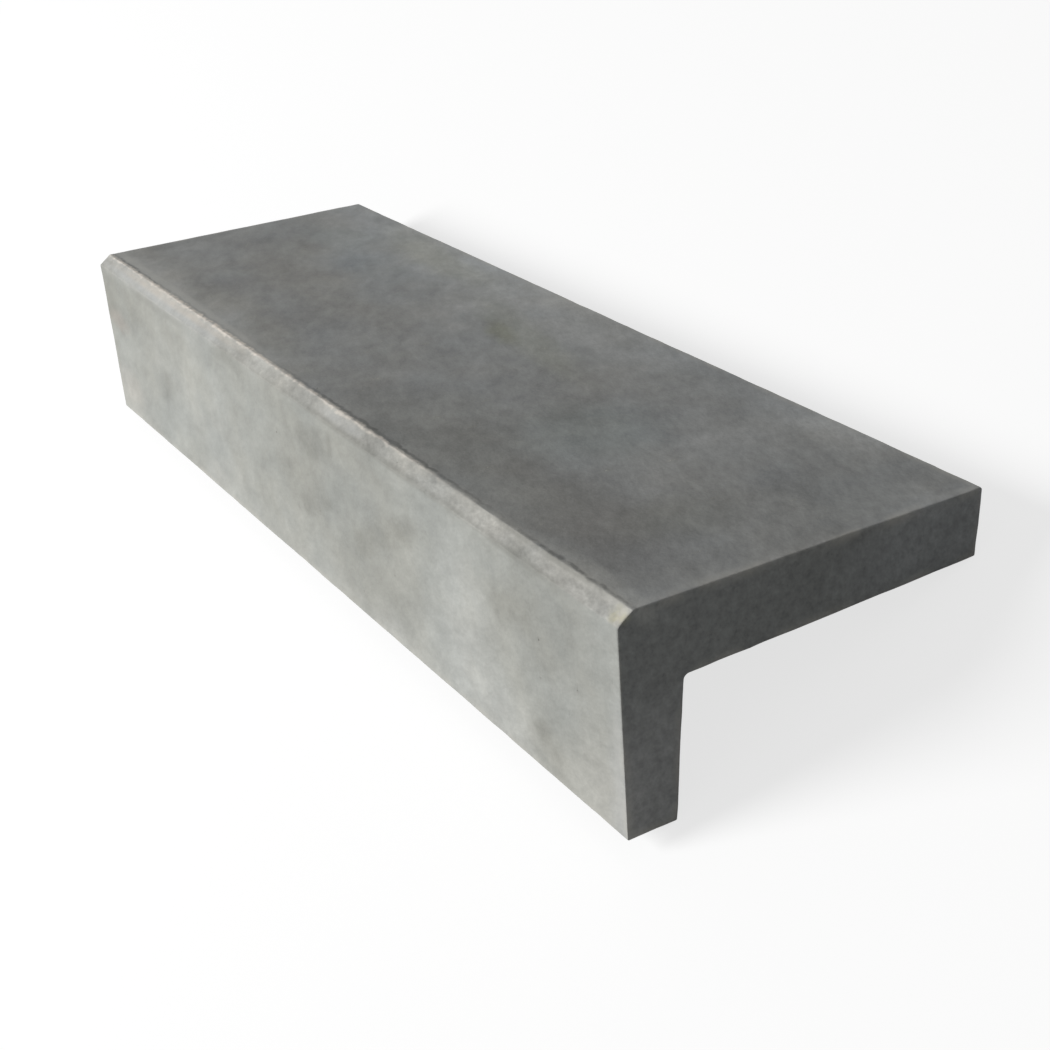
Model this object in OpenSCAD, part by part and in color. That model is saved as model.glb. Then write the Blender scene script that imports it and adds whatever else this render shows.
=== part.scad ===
// L-shaped precast concrete step: a tread with a riser cast on, in one piece.
// X runs along the step, Y from its front to its back, and Z points up.
// Set down with nothing holding it, the step tips back off its narrow riser foot, so it is
// stored as it comes to rest: on the heel of the riser and the lower back edge of the tread.
// The origin is on the floor, under the middle of the step's box.

/* [Overall] */
// Length of the step
length = 1000; // [400:10:2000]
// Depth of the tread, front to back
depth = 315; // [240:1:450]
// Height of the step, foot to walking surface
height = 175; // [130:1:220]

/* [Tread] */
// Thickness of the tread where it meets the riser
tread_root = 62; // [45:0.5:85]
// Thickness of the tread at its back edge
tread_edge = 54.5; // [40:0.5:80]
// How far the back edge leans in, from its top to its bottom
back_draft = 3; // [0:0.5:8]

/* [Riser] */
// Thickness of the riser where it meets the tread
riser_root = 52; // [35:0.5:80]
// Thickness of the riser at its foot
riser_foot = 41.5; // [30:0.5:75]
// How far the front face leans in, from the chamfer down to the foot
front_draft = 3; // [0:0.5:8]

/* [Edges] */
// Width of the nosing chamfer, across the tread
chamfer_run = 12; // [6:0.5:20]
// Drop of the nosing chamfer, down the riser
chamfer_drop = 9; // [6:0.5:20]
// Radius of the fillet in the inner corner
fillet_r = 4; // [3:0.5:20]
// Radius of the outer edges left by the mould
arris_r = 1.5; // [0.5:0.1:2.5]

/* [Hidden] */

// Flats that make up each rounded outer edge, and the fillet
arris_flats = 6;
fillet_flats = 12;

// The section's corners with the riser upright and the tread level, anticlockwise from the toe.
corners = [
    [front_draft, 0],
    [front_draft + riser_foot, 0],
    [riser_root, height - tread_root],
    [depth - back_draft, height - tread_edge],
    [depth, height],
    [chamfer_run, height],
    [0, height - chamfer_drop]
];
HEEL = 1;
INNER = 2;
BACK_LOW = 3;
last = len(corners) - 1;

function unit(v) = v / norm(v);

// Directions from corner i towards the corners before and after it, and half the angle between.
function to_last(i) = unit(corners[i == 0 ? last : i - 1] - corners[i]);
function to_next(i) = unit(corners[i == last ? 0 : i + 1] - corners[i]);
function half_angle(i) = acos(to_last(i) * to_next(i)) / 2;

// Centre of the arc of radius r that rounds corner i off.
function arc_centre(i, r) = corners[i] + unit(to_last(i) + to_next(i)) * r / sin(half_angle(i));

// Points of that arc, in the order of the outline. The inner corner's arc turns the other way.
function arc(i, r, flats) =
    let (
        centre = arc_centre(i, r),
        outward = corners[i] - centre,
        sweep = (180 - 2 * half_angle(i)) * (i == INNER ? -1 : 1),
        start = atan2(outward[1], outward[0]) - sweep / 2
    )
    [for (k = [0 : flats])
        let (angle = start + sweep * k / flats)
        centre + r * [cos(angle), sin(angle)]];

function rounded(i) = i == INNER ? arc(i, fillet_r, fillet_flats) : arc(i, arris_r, arris_flats);

// The stored pose: the arcs of the heel and of the lower back edge rest on the floor.
heel_to_back = arc_centre(BACK_LOW, arris_r) - arc_centre(HEEL, arris_r);
lean = atan2(heel_to_back[1], heel_to_back[0]);
leaned = [for (i = [0 : last]) each [for (p = rounded(i)) [
    p[0] * cos(lean) + p[1] * sin(lean),
    p[1] * cos(lean) - p[0] * sin(lean)
]]];
leaned_y = [for (p = leaned) p[0]];
leaned_z = [for (p = leaned) p[1]];
origin = [(min(leaned_y) + max(leaned_y)) / 2, min(leaned_z)];

module step() {
    color([0.62, 0.63, 0.61])
        rotate([90, 0, 90])
            linear_extrude(length, center = true)
                polygon([for (p = leaned) p - origin]);
}

step();
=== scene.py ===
import math
from collections import namedtuple

import bmesh
import bpy
from bpy.props import FloatProperty, FloatVectorProperty, IntProperty, PointerProperty
from mathutils import Euler, Matrix, Vector, geometry, kdtree


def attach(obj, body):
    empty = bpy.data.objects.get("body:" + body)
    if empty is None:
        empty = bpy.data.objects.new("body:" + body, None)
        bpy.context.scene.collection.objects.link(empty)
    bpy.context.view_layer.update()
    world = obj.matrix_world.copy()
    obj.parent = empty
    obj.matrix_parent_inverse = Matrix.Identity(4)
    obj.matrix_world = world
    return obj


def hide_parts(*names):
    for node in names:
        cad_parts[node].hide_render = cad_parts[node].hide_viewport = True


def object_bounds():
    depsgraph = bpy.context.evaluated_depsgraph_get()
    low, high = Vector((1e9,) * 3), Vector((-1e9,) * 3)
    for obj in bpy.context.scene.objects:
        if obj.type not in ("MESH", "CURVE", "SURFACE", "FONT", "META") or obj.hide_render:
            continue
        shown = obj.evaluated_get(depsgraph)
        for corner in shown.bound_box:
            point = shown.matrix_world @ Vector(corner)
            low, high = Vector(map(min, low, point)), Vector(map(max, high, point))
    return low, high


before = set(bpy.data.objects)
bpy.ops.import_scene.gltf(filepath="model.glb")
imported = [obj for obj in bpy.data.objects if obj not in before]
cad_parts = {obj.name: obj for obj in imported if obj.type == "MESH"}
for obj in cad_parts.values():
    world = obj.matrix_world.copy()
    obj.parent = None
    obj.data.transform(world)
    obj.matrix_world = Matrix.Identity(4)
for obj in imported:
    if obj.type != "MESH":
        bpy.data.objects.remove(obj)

# An L-shaped precast concrete step, laid out as an add-on: one operator casts the step in its
# finish, and one sets the stage round it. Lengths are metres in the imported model's frame.
# "Upright" means the step's own axes in use: along its length, to its back, and up.

bl_info = {
    "name": "Precast concrete step",
    "version": (1, 0, 0),
    "blender": (4, 5, 0),
    "location": "3D View > Sidebar > Concrete step",
    "description": "Casts an L-shaped concrete step round its packed CAD model, and lights it",
    "category": "Add Mesh",
}

CAD_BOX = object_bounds()
CAD_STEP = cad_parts["step"]
LENGTH = CAD_BOX[1].x - CAD_BOX[0].x
MM = 0.001
WELD = 0.01 * MM

# The section's corners and sides, anticlockwise from the toe of the riser. A side starts at the
# corner of its own number.
TOE, HEEL, INNER, BACK_LOW, BACK_TOP, NOSE_TOP, NOSE_LOW = range(7)
FOOT, RISER_BACK, UNDERSIDE, BACK, TOP, CHAMFER, FRONT = range(7)

# The faces whose tone differs from the hidden ones, under the names of their point facts.
SEEN_FACES = {"on_top": TOP, "on_chamfer": CHAMFER, "on_front": FRONT}

# What the section's points know and the nodes read: which way is out, which way the nearest
# corner wears, how far it is, how readily it rubs pale, how deep the point lies inside the
# section, its share in the mould's joint line, and its share in each seen face.
POINT_FACTS = {
    "outward": "FLOAT_VECTOR",
    "push": "FLOAT_VECTOR",
    "away": "FLOAT",
    "rubs": "FLOAT",
    "rim": "FLOAT",
    "joint_line": "FLOAT",
    **{name: "FLOAT" for name in SEEN_FACES},
}

Corner = namedtuple("Corner", "place inward half radius convex")
Row = namedtuple("Row", "place outward faces")
Mark = namedtuple("Mark", "place reach turn colour strength")
Patches = namedtuple("Patches", "size detail span shares")


def linear(hex_colour):
    """An sRGB hex colour as the linear values that shaders take."""
    channels = [int(hex_colour[i : i + 2], 16) / 255 for i in (1, 3, 5)]
    return tuple(c / 12.92 if c <= 0.04045 else ((c + 0.055) / 1.055) ** 2.4 for c in channels)


def add(tree, kind, values=None, **settings):
    """Adds a node, sets it up, fills or links its inputs by name or number, and returns its
    first output."""
    node = tree.nodes.new(kind)
    for name, setting in settings.items():
        setattr(node, name, setting)
    for key, value in (values or {}).items():
        if isinstance(key, str):
            socket = next(s for s in node.inputs if s.name == key and s.enabled)
        else:
            socket = node.inputs[key]
        for source in value if isinstance(value, list) else [value]:
            if isinstance(source, bpy.types.NodeSocket):
                tree.links.new(source, socket)
            else:
                socket.default_value = source
    return next((s for s in node.outputs if s.enabled), None)


def patchy(tree, place, patches, seed=None):
    """Adds nodes for a share that comes and goes in patches: one span of a noise, stretched from
    the least share to the most. A seed, if there is one, draws the noise."""
    noise = {"Vector": place, "Scale": 1 / patches.size, "Detail": patches.detail}
    if seed is not None:
        noise["W"] = seed
    drawn = add(tree, "ShaderNodeTexNoise", noise, noise_dimensions="3D" if seed is None else "4D")
    (low, high), (least, most) = patches.span, patches.shares
    stretch = {"From Min": low, "From Max": high, "To Min": least, "To Max": most}
    return add(tree, "ShaderNodeMapRange", {"Value": drawn, **stretch})


# ------------------------------------------------------------ the section, read from the CAD


def cad_outline():
    """The CAD step's section as (y, z) points, anticlockwise, from the rim of its right end."""
    shape = bmesh.new()
    shape.from_mesh(CAD_STEP.data)
    bmesh.ops.remove_doubles(shape, verts=shape.verts, dist=WELD)
    nearly_along = 0.9
    ahead = {}
    for face in shape.faces:
        if face.normal.x > nearly_along:
            for loop in face.loops:
                if loop.link_loop_radial_next.face.normal.x < nearly_along:
                    ahead[loop.vert] = loop.link_loop_next.vert
    start = vert = next(iter(ahead))
    outline = []
    while not outline or vert is not start:
        outline.append(Vector((vert.co.y, vert.co.z)))
        vert = ahead[vert]
    shape.free()
    return outline


def section_corners():
    """The seven corners where the section's straight sides would meet, from the toe on."""
    outline = cad_outline()
    shortest_side = 5 * MM
    sides = []
    for start, end in zip(outline, outline[1:] + outline[:1]):
        if (end - start).length > shortest_side:
            sides.append((start, end))
    corners = []
    for before, after in zip(sides[-1:] + sides[:-1], sides):
        way_in, way_out = before[1] - before[0], after[1] - after[0]
        turn = way_in.cross(way_out)
        place = before[0] + way_in * ((after[0] - before[0]).cross(way_out) / turn)
        back, on = -way_in.normalized(), way_out.normalized()
        half = back.angle(on) / 2
        radius = (place - after[0]).length * math.tan(half)
        corners.append(Corner(place, (back + on).normalized(), half, radius, turn > 0))
    inner = next(i for i, corner in enumerate(corners) if not corner.convex)
    first = (inner - INNER) % len(corners)
    return corners[first:] + corners[:first]


def outward_of(corners, side):
    """The outward normal of a side."""
    way = corners[(side + 1) % len(corners)].place - corners[side].place
    return Vector((way.y, -way.x)).normalized()


def upright_axes(corners):
    """The matrix from the frame to the step's upright axes: x from its left end, y from the
    front of its nosing, z from its foot."""
    up = outward_of(corners, TOP)
    turn = Matrix(((1, 0, 0, 0), (0, up.y, -up.x, 0), (0, up.x, up.y, 0), (0, 0, 0, 1)))
    turned = [turn @ Vector((0, *corner.place)) for corner in corners]
    front = min(place.y for place in turned)
    foot = min(place.z for place in turned)
    return Matrix.Translation((LENGTH / 2, -front, -foot)) @ turn


CORNERS = section_corners()
TO_UPRIGHT = upright_axes(CORNERS)


def upright_mm(corner):
    """Where a corner of the section lies at the left end, in upright millimetres."""
    return TO_UPRIGHT @ Vector((-LENGTH / 2, *CORNERS[corner].place)) / MM


def steps_along(length, first, growth, widest):
    """Places between 0 and length, close together at both ends and further apart between."""
    reach, gap, near = first, first * growth, [first]
    while gap < widest and reach + gap < length / 2:
        reach += gap
        near.append(reach)
        gap *= growth
    middle = length - 2 * reach
    gaps = max(1, round(middle / gap))
    between = [reach + middle * i / gaps for i in range(1, gaps)]
    return near + between + [length - place for place in reversed(near)]


def profile_rows(corners, shape):
    """The section's outline, point by point: each corner's arc, which turns from one side's face
    to the next one's, then the side after it."""
    rows = []
    for i, corner in enumerate(corners):
        after = corners[(i + 1) % len(corners)]
        normal_in, normal_out = outward_of(corners, i - 1), outward_of(corners, i)
        turn = math.atan2(normal_in.cross(normal_out), normal_in.dot(normal_out))
        centre = corner.place + corner.inward * corner.radius / math.sin(corner.half)
        bulge = corner.radius if corner.convex else -corner.radius
        for k in range(shape.arc_flats + 1):
            turned = k / shape.arc_flats
            outward = Matrix.Rotation(turn * turned, 2) @ normal_in
            faces = {(i - 1) % len(corners): 1 - turned, i: turned}
            rows.append(Row(centre + outward * bulge, outward, faces))
        way = after.place - corner.place
        start = corner.radius / math.tan(corner.half)
        end = way.length - after.radius / math.tan(after.half)
        for step in steps_along(end - start, shape.finest, shape.growth, shape.widest):
            place = corner.place + way.normalized() * (start + step)
            rows.append(Row(place, normal_out, {i: 1.0}))
    return rows


def depth_below(corners, side, place):
    """How deep a point of the section lies below the plane of one side."""
    return (corners[side].place - place).dot(outward_of(corners, side))


def in_section(corners, place):
    """Whether a point lies inside the section: below every outer side, and in tread or riser."""
    outer = min(depth_below(corners, side, place) for side in (FOOT, BACK, TOP, CHAMFER, FRONT))
    inner = max(depth_below(corners, side, place) for side in (RISER_BACK, UNDERSIDE))
    return min(outer, inner) > 0


# What fills the section for its end faces: rings at these distances from the outline, then
# lattices from a further distance on, all three counted in the smallest corner radius. Each
# lattice gives its gap and how far from the outline it ends, and the next one starts a share of
# that gap further in.
RINGS, CLEAR_OF_RINGS = (0.35, 0.75), 1.2
LATTICES, CLEAR_OF_LATTICE = ((1.5 * MM, 4 * MM), (4 * MM, 14 * MM), (10 * MM, math.inf)), 0.4


def section_inside(rows, corners, rim_of):
    """Points inside the section: rings behind its outline, then ever wider lattices."""
    smallest = min(corner.radius for corner in corners)
    inside = []
    for share in RINGS:
        inside += [row.place - row.outward * smallest * share for row in rows]
    lowest = [min(row.place[axis] for row in rows) for axis in (0, 1)]
    highest = [max(row.place[axis] for row in rows) for axis in (0, 1)]
    nearest_rim = smallest * CLEAR_OF_RINGS
    for gap, furthest_rim in LATTICES:
        for i in range(int((highest[0] - lowest[0]) / gap)):
            for j in range(int((highest[1] - lowest[1]) / gap)):
                place = Vector((lowest[0] + (i + 0.5) * gap, lowest[1] + (j + 0.5) * gap))
                if nearest_rim < rim_of(place)[0] < furthest_rim and in_section(corners, place):
                    inside.append(place)
        nearest_rim = furthest_rim + gap * CLEAR_OF_LATTICE
    return inside


def rim_finder(rows):
    """A function that gives a point's distance to the outline, and the row nearest to it."""
    parts = 8
    finder = kdtree.KDTree(len(rows) * parts)
    for i, (here, after) in enumerate(zip(rows, rows[1:] + rows[:1])):
        for k in range(parts):
            place = here.place.lerp(after.place, k / parts)
            finder.insert((*place, 0), (i + round(k / parts)) % len(rows))
    finder.balance()

    def rim_of(place):
        _, row, distance = finder.find((*place, 0))
        return distance, rows[row]

    return rim_of


def wear_facts(corners, place):
    """How far a point lies from the nearest convex corner, along the side; that corner's way
    inwards, scaled so that a push by d moves a flat cut d further along both sides; and how
    readily the corner rubs pale. The chamfer's foot hardly does, since nothing catches on it."""
    hardly = 0.1
    convex = [corner for corner in corners if corner.convex]
    corner = min(convex, key=lambda c: (c.place - place).length)
    dip = (place - corner.place).dot(corner.inward)
    rubs = hardly if corner is corners[NOSE_LOW] else 1.0
    return dip / math.cos(corner.half), corner.inward * math.cos(corner.half), rubs


def joint_line_share(corners, row, shape):
    """1 along the middle of the line that the mould's joint left on the chamfer, 0 off it."""
    off = (row.place - corners[NOSE_LOW].place).length - shape.joint_line_rise
    return row.faces.get(CHAMFER, 0.0) * math.exp(-((off / shape.joint_line_reach) ** 2))


def section_mesh(corners, shape):
    """The section as a flat mesh in the plane x = 0, its outline's points first and in order."""
    rows = profile_rows(corners, shape)
    rim_of = rim_finder(rows)
    points = [row.place for row in rows] + section_inside(rows, corners, rim_of)
    outline, keep_inside, merged_within = list(range(len(rows))), 1, 1e-5
    places, _, faces, origin, _, _ = geometry.delaunay_2d_cdt(
        [place / MM for place in points], [], [outline], keep_inside, merged_within
    )
    if [source[0] for source in origin[: len(rows)]] != outline:
        raise RuntimeError("the section's outline lost a point")
    facts = {name: [] for name in POINT_FACTS}
    for i, place in enumerate(Vector(place) * MM for place in places):
        if i < len(rows):
            rim, row = 0.0, rows[i]
        else:
            rim, nearest = rim_of(place)
            row = nearest._replace(faces={})
        away, push, rubs = wear_facts(corners, place)
        facts["outward"] += [0, *row.outward]
        facts["push"] += [0, *push]
        facts["away"].append(away)
        facts["rubs"].append(rubs)
        facts["rim"].append(rim)
        facts["joint_line"].append(joint_line_share(corners, row, shape))
        for name, side in SEEN_FACES.items():
            facts[name].append(row.faces.get(side, 0.0))
    mesh = bpy.data.meshes.new("section")
    mesh.from_pydata([(0, *(Vector(place) * MM)) for place in places], [], faces)
    for name, kind in POINT_FACTS.items():
        values = mesh.attributes.new(name, kind, "POINT").data
        values.foreach_set("vector" if kind == "FLOAT_VECTOR" else "value", facts[name])
    return mesh, len(rows)


# ----------------------------------------------------------- the cast step, by geometry nodes


def new_tree(name, inputs):
    """A geometry node tree with its inputs named under their kinds, the sockets of its input
    node by name, and its output node."""
    tree = bpy.data.node_groups.new(name, "GeometryNodeTree")
    for kind, labels in inputs.items():
        for label in labels:
            tree.interface.new_socket(name=label, in_out="INPUT", socket_type="NodeSocket" + kind)
    tree.interface.new_socket(name="Geometry", in_out="OUTPUT", socket_type="NodeSocketGeometry")
    given = tree.nodes.new("NodeGroupInput").outputs
    sockets = {label: given[label] for labels in inputs.values() for label in labels}
    return tree, sockets, tree.nodes.new("NodeGroupOutput")


# How patchy the wear and the chips are: the size of the patches, their detail, the span of the
# noise that counts, and the shares that it is stretched to.
WEAR_PATCHES = Patches(30 * MM, 4.0, (0.35, 0.68), (0.35, 1.6))
CHIP_PATCHES = Patches(9 * MM, 3.0, (0.6, 0.74), (0.0, 1.0))


def worn_arris_tree():
    """Nodes that wear an arris: they ease it by a varying amount, and break small chips off it.
    Both act as flat cuts across the arris, so that they only ever take material away."""
    numbers = ["Away", "Wear", "Chip", "Seed"]
    inputs = {"Geometry": ["Geometry"], "Vector": ["Push"], "Float": numbers}
    tree, given, result = new_tree("Worn arris", inputs)
    position = add(tree, "GeometryNodeInputPosition")
    share = patchy(tree, position, WEAR_PATCHES, given["Seed"])
    reach = add(tree, "ShaderNodeMath", {0: share, 1: given["Wear"]}, operation="MULTIPLY")
    left = add(tree, "ShaderNodeMath", {0: reach, 1: given["Away"]}, operation="SUBTRACT")
    left = add(tree, "ShaderNodeMath", {0: left, 1: 0.0}, operation="MAXIMUM")
    # Half of left squared over reach bends the arris into one parabola from side to side.
    square = add(tree, "ShaderNodeMath", {0: left, 1: 2.0}, operation="POWER")
    ease = add(tree, "ShaderNodeMath", {0: square, 1: reach}, operation="DIVIDE")
    ease = add(tree, "ShaderNodeMath", {0: ease, 1: 0.5}, operation="MULTIPLY")
    share = patchy(tree, position, CHIP_PATCHES, given["Seed"])
    chip = add(tree, "ShaderNodeMath", {0: share, 1: given["Chip"]}, operation="MULTIPLY")
    chip = add(tree, "ShaderNodeMath", {0: chip, 1: given["Away"]}, operation="SUBTRACT")
    lost = add(tree, "ShaderNodeMath", {0: ease, 1: chip}, operation="MAXIMUM")
    offset = add(tree, "ShaderNodeVectorMath", {0: given["Push"], "Scale": lost}, operation="SCALE")
    share = add(tree, "ShaderNodeMath", {0: lost, 1: given["Wear"]}, operation="DIVIDE")
    # A loss of half the wear's reach counts as fully worn.
    before = add(tree, "GeometryNodeInputNamedAttribute", {"Name": "worn"}, data_type="FLOAT")
    worn = add(tree, "ShaderNodeMath", {0: share, 1: 2.0, 2: before}, operation="MULTIPLY_ADD")
    worn.node.use_clamp = True
    noted = {"Geometry": given["Geometry"], "Name": "worn", "Value": worn}
    body = add(tree, "GeometryNodeStoreNamedAttribute", noted, data_type="FLOAT")
    moved = add(tree, "GeometryNodeSetPosition", {"Geometry": body, "Offset": offset})
    tree.links.new(moved, result.inputs["Geometry"])
    return tree


def swept_section(tree, given, half_length):
    """Adds nodes that sweep the section's outline from end to end, with stations closer together
    towards the ends, and close both ends with the section itself."""
    points = given["Outline points"]
    rows = add(tree, "ShaderNodeMath", {0: points, 1: 1.0}, operation="ADD")
    grid = {"Size X": 2.0, "Size Y": points, "Vertices X": given["Stations"], "Vertices Y": rows}
    sheet = add(tree, "GeometryNodeMeshGrid", grid)
    position = add(tree, "GeometryNodeInputPosition")
    place = add(tree, "ShaderNodeSeparateXYZ", {0: position}).node.outputs
    half_rows = add(tree, "ShaderNodeMath", {0: points, 1: 0.5}, operation="MULTIPLY")
    row = add(tree, "ShaderNodeMath", {0: place["Y"], 1: half_rows}, operation="ADD")
    row = add(tree, "ShaderNodeMath", {0: row}, operation="ROUND")
    row = add(tree, "ShaderNodeMath", {0: row, 1: points}, operation="FLOORED_MODULO")
    # Stations from -1 to 1, eased by a sine so that the ends get a quarter of the mean gap.
    eased = 0.75
    turn = add(tree, "ShaderNodeMath", {0: place["X"], 1: math.pi / 2}, operation="MULTIPLY")
    sine = add(tree, "ShaderNodeMath", {0: turn}, operation="SINE")
    blend = {"Factor": eased, "A": place["X"], "B": sine}
    station = add(tree, "ShaderNodeMix", blend, data_type="FLOAT")
    along = add(tree, "ShaderNodeMath", {0: station, 1: half_length}, operation="MULTIPLY")
    for name, kind in POINT_FACTS.items():
        fact = add(tree, "GeometryNodeInputNamedAttribute", {"Name": name}, data_type=kind)
        sampled = {"Geometry": given["Section"], "Value": fact, "Index": row}
        value = add(tree, "GeometryNodeSampleIndex", sampled, data_type=kind)
        noted = {"Geometry": sheet, "Name": name, "Value": value}
        sheet = add(tree, "GeometryNodeStoreNamedAttribute", noted, data_type=kind)
    sampled = {"Geometry": given["Section"], "Value": position, "Index": row}
    outline = add(tree, "GeometryNodeSampleIndex", sampled, data_type="FLOAT_VECTOR")
    shift = add(tree, "ShaderNodeCombineXYZ", {"X": along})
    swept = add(tree, "ShaderNodeVectorMath", {0: outline, 1: shift}, operation="ADD")
    sheet = add(tree, "GeometryNodeSetPosition", {"Geometry": sheet, "Position": swept})
    sheet = add(tree, "GeometryNodeFlipFaces", {"Mesh": sheet})
    ends = []
    for side in (1.0, -1.0):
        reach = add(tree, "ShaderNodeMath", {0: half_length, 1: side}, operation="MULTIPLY")
        shift = add(tree, "ShaderNodeCombineXYZ", {"X": reach})
        placed = {"Geometry": given["Section"], "Translation": shift}
        end = add(tree, "GeometryNodeTransform", placed)
        if side < 0:
            end = add(tree, "GeometryNodeFlipFaces", {"Mesh": end})
        ends.append(end)
    ends = add(tree, "GeometryNodeJoinGeometry", {"Geometry": ends})
    noted = {"Geometry": ends, "Name": "at_end", "Value": 1.0}
    ends = add(tree, "GeometryNodeStoreNamedAttribute", noted, data_type="FLOAT")
    joined = add(tree, "GeometryNodeJoinGeometry", {"Geometry": [sheet, ends]})
    return add(tree, "GeometryNodeMergeByDistance", {"Geometry": joined, "Distance": WELD})


# The length of the waves in the faces. Each further relief lies where its point fact says: the
# input that gives its depth, and its patches.
WAVE_LENGTH = 110 * MM
RELIEFS = {
    "joint_line": ("Joint line depth", Patches(120 * MM, 3.0, (0.32, 0.65), (0.15, 1.0))),
    "on_chamfer": ("Sandy relief", Patches(5 * MM, 3.0, (0.32, 0.65), (0.0, 1.0))),
}


def relief(tree, body, given):
    """Adds nodes for the shallow relief of the cast faces: their waviness, the joint line at the
    chamfer's foot and the chamfer's sandy skin. All of it lies below the CAD step's faces."""
    position = add(tree, "GeometryNodeInputPosition")
    normal = add(tree, "GeometryNodeInputNormal")
    noise = {"Vector": position, "W": given["Seed"], "Scale": 1 / WAVE_LENGTH, "Detail": 2.0}
    waves = add(tree, "ShaderNodeTexNoise", noise, noise_dimensions="4D")
    drop = add(tree, "ShaderNodeMath", {0: waves, 1: given["Waviness"]}, operation="MULTIPLY")
    for fact, (depth, patches) in RELIEFS.items():
        share = patchy(tree, position, patches)
        where = add(tree, "GeometryNodeInputNamedAttribute", {"Name": fact}, data_type="FLOAT")
        share = add(tree, "ShaderNodeMath", {0: share, 1: where}, operation="MULTIPLY")
        deeper = {0: share, 1: given[depth], 2: drop}
        drop = add(tree, "ShaderNodeMath", deeper, operation="MULTIPLY_ADD")
    drop = add(tree, "ShaderNodeMath", {0: drop, 1: -1.0}, operation="MULTIPLY")
    offset = add(tree, "ShaderNodeVectorMath", {0: normal, "Scale": drop}, operation="SCALE")
    return add(tree, "GeometryNodeSetPosition", {"Geometry": body, "Offset": offset})


def pinholes(tree, body, given, clear):
    """Adds nodes that sink small round air holes into the faces, where clear lets them. Large
    ones are rare, and each one's middle lies a little above its face."""
    rarity, smallest, above = 3.0, 0.35, 0.35
    spread = {
        "Mesh": body,
        "Selection": clear,
        "Density": given["Pinholes per square metre"],
        "Seed": given["Seed"],
    }
    points = add(tree, "GeometryNodeDistributePointsOnFaces", spread).node.outputs
    size = add(tree, "FunctionNodeRandomValue", {"Min": 0.0, "Max": 1.0, "Seed": given["Seed"]})
    size = add(tree, "ShaderNodeMath", {0: size, 1: rarity}, operation="POWER")
    size = add(tree, "ShaderNodeMapRange", {"Value": size, "To Min": smallest, "To Max": 1.0})
    largest = given["Pinhole radius"]
    radius = add(tree, "ShaderNodeMath", {0: size, 1: largest}, operation="MULTIPLY")
    lift = add(tree, "ShaderNodeMath", {0: radius, 1: above}, operation="MULTIPLY")
    way_out = {0: points["Normal"], "Scale": lift}
    lift = add(tree, "ShaderNodeVectorMath", way_out, operation="SCALE")
    lifted = {"Geometry": points["Points"], "Offset": lift}
    holes = {
        "Points": add(tree, "GeometryNodeSetPosition", lifted),
        "Instance": add(tree, "GeometryNodeMeshIcoSphere", {"Radius": 1.0, "Subdivisions": 2}),
        "Rotation": points["Rotation"],
        "Scale": radius,
    }
    holes = add(tree, "GeometryNodeInstanceOnPoints", holes)
    # Realized here, the holes bring along what their points know of the face round them.
    holes = add(tree, "GeometryNodeRealizeInstances", {"Geometry": holes})
    cut = {"Mesh 1": body, "Mesh 2": holes}
    return add(tree, "GeometryNodeMeshBoolean", cut, operation="DIFFERENCE", solver="MANIFOLD")


# Chips fade out between these distances from another arris, air holes keep this far from every
# arris, and edges that turn by more than this angle look sharp.
NO_CHIPS, NO_HOLES, SHARP = (2 * MM, 8 * MM), 5 * MM, math.radians(40)


def end_arris(tree, half_length, facts):
    """Adds nodes for the arris round each end: how far a point lies from it, along the step on
    its sides and inwards on the end, and its push, which goes in along the step and away from
    the side's face alike."""
    position = add(tree, "GeometryNodeInputPosition")
    x = add(tree, "ShaderNodeSeparateXYZ", {0: position}).node.outputs["X"]
    inset = add(tree, "ShaderNodeMath", {0: x}, operation="ABSOLUTE")
    inset = add(tree, "ShaderNodeMath", {0: half_length, 1: inset}, operation="SUBTRACT")
    away = add(tree, "ShaderNodeMath", {0: inset, 1: facts["rim"]}, operation="ADD")
    sign = add(tree, "ShaderNodeMath", {0: x}, operation="SIGN")
    along = add(tree, "ShaderNodeCombineXYZ", {"X": sign})
    corner = add(tree, "ShaderNodeVectorMath", {0: along, 1: facts["outward"]}, operation="ADD")
    push = add(tree, "ShaderNodeVectorMath", {0: corner, "Scale": -0.5}, operation="SCALE")
    return away, push


def worn_arrises(tree, body, given, sides, ends):
    """Adds nodes that wear the arrises of the sides, then those of the ends. Both are given as
    how far a point lies from the arris and its push."""
    worn_arris = worn_arris_tree()
    near, far = NO_CHIPS
    for (away, push), (from_other, _) in ((sides, ends), (ends, sides)):
        # No chips are broken where two arrises meet, so that their cuts never cross.
        fade = {"Value": from_other, "From Min": near, "From Max": far}
        chip = add(tree, "ShaderNodeMapRange", fade)
        chip = add(tree, "ShaderNodeMath", {0: chip, 1: given["Chip size"]}, operation="MULTIPLY")
        wear = {
            "Geometry": body,
            "Away": away,
            "Push": push,
            "Wear": given["Arris wear"],
            "Chip": chip,
            "Seed": given["Seed"],
        }
        body = add(tree, "GeometryNodeGroup", wear, node_tree=worn_arris)
    return body


def creased(tree, body):
    """Adds nodes that shade the faces smooth, and their sharp edges sharp."""
    sharp = add(tree, "GeometryNodeInputMeshEdgeAngle")
    sharp = add(tree, "FunctionNodeCompare", {"A": sharp, "B": SHARP}, operation="GREATER_THAN")
    smooth = {"Geometry": body, "Shade Smooth": True}
    body = add(tree, "GeometryNodeSetShadeSmooth", smooth, domain="FACE")
    edges = {"Geometry": body, "Selection": sharp, "Shade Smooth": False}
    return add(tree, "GeometryNodeSetShadeSmooth", edges, domain="EDGE")


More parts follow.
